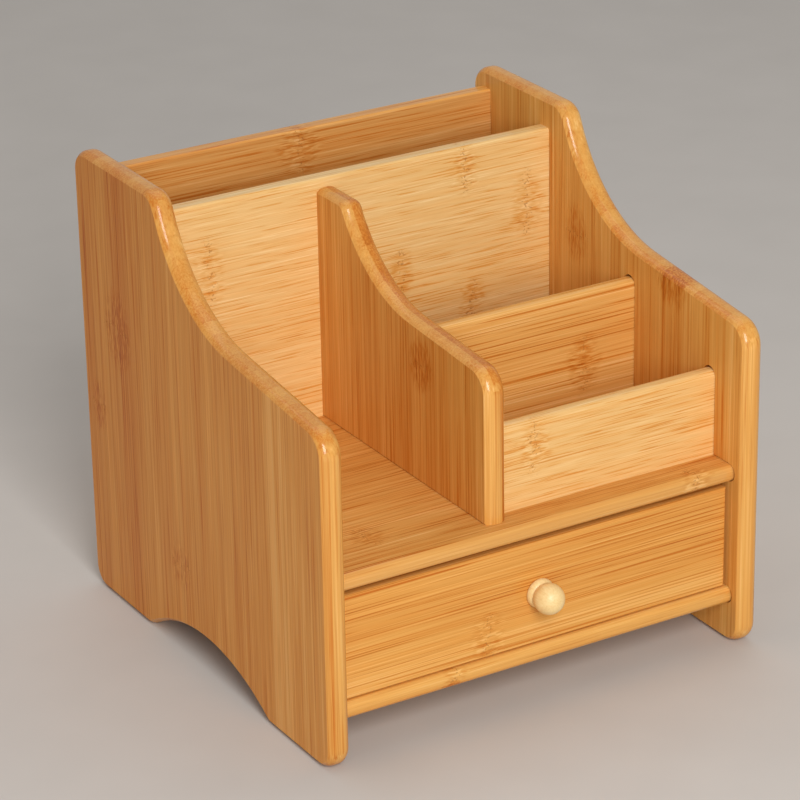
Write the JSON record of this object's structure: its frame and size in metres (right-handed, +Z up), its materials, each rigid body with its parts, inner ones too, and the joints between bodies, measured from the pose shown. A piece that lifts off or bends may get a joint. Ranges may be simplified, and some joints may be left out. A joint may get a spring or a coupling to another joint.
{
  "type": "desk organizer with drawer",
  "caption": "Wooden desk organizer with curved side panels, a letter slot at the back, open divided trays in front of it and a sliding drawer with a round knob underneath.",
  "frame": {"origin": "on the desk, under the middle of the object's bounding box", "axes": "+X to the right as seen from the drawer's front, +Y to the back, +Z up"},
  "size_m": [0.22, 0.2238, 0.2147],
  "materials": {
    "bamboo": "laminated bamboo, satin lacquer",
    "drawer_bamboo": "laminated bamboo, bare inside",
    "turned_knob": "pale turned wood, satin lacquer",
    "screw_steel": "zinc plated"
  },
  "bodies": {
    "case": {"left_side_panel": "bamboo", "right_side_panel": "bamboo", "back_panel": "bamboo", "rear_divider": "bamboo", "centre_divider": "bamboo", "cross_divider": "bamboo", "tray_front": "bamboo", "deck_board": "bamboo", "base_board": "bamboo", "divider_screws": "screw_steel"},
    "drawer": {"drawer_front": "bamboo", "drawer_left_side": "drawer_bamboo", "drawer_right_side": "drawer_bamboo", "drawer_back": "drawer_bamboo", "drawer_bottom": "drawer_bamboo", "drawer_knob": "turned_knob", "knob_screw": "screw_steel", "front_pins": "screw_steel", "back_pins": "screw_steel", "bottom_pins": "screw_steel"}
  },
  "joints": [
    {"name": "drawer_slide", "type": "slide", "parent": "case", "child": "drawer", "axis": [0, -1, 0], "range_m": [0, 0.15]}
  ]
}
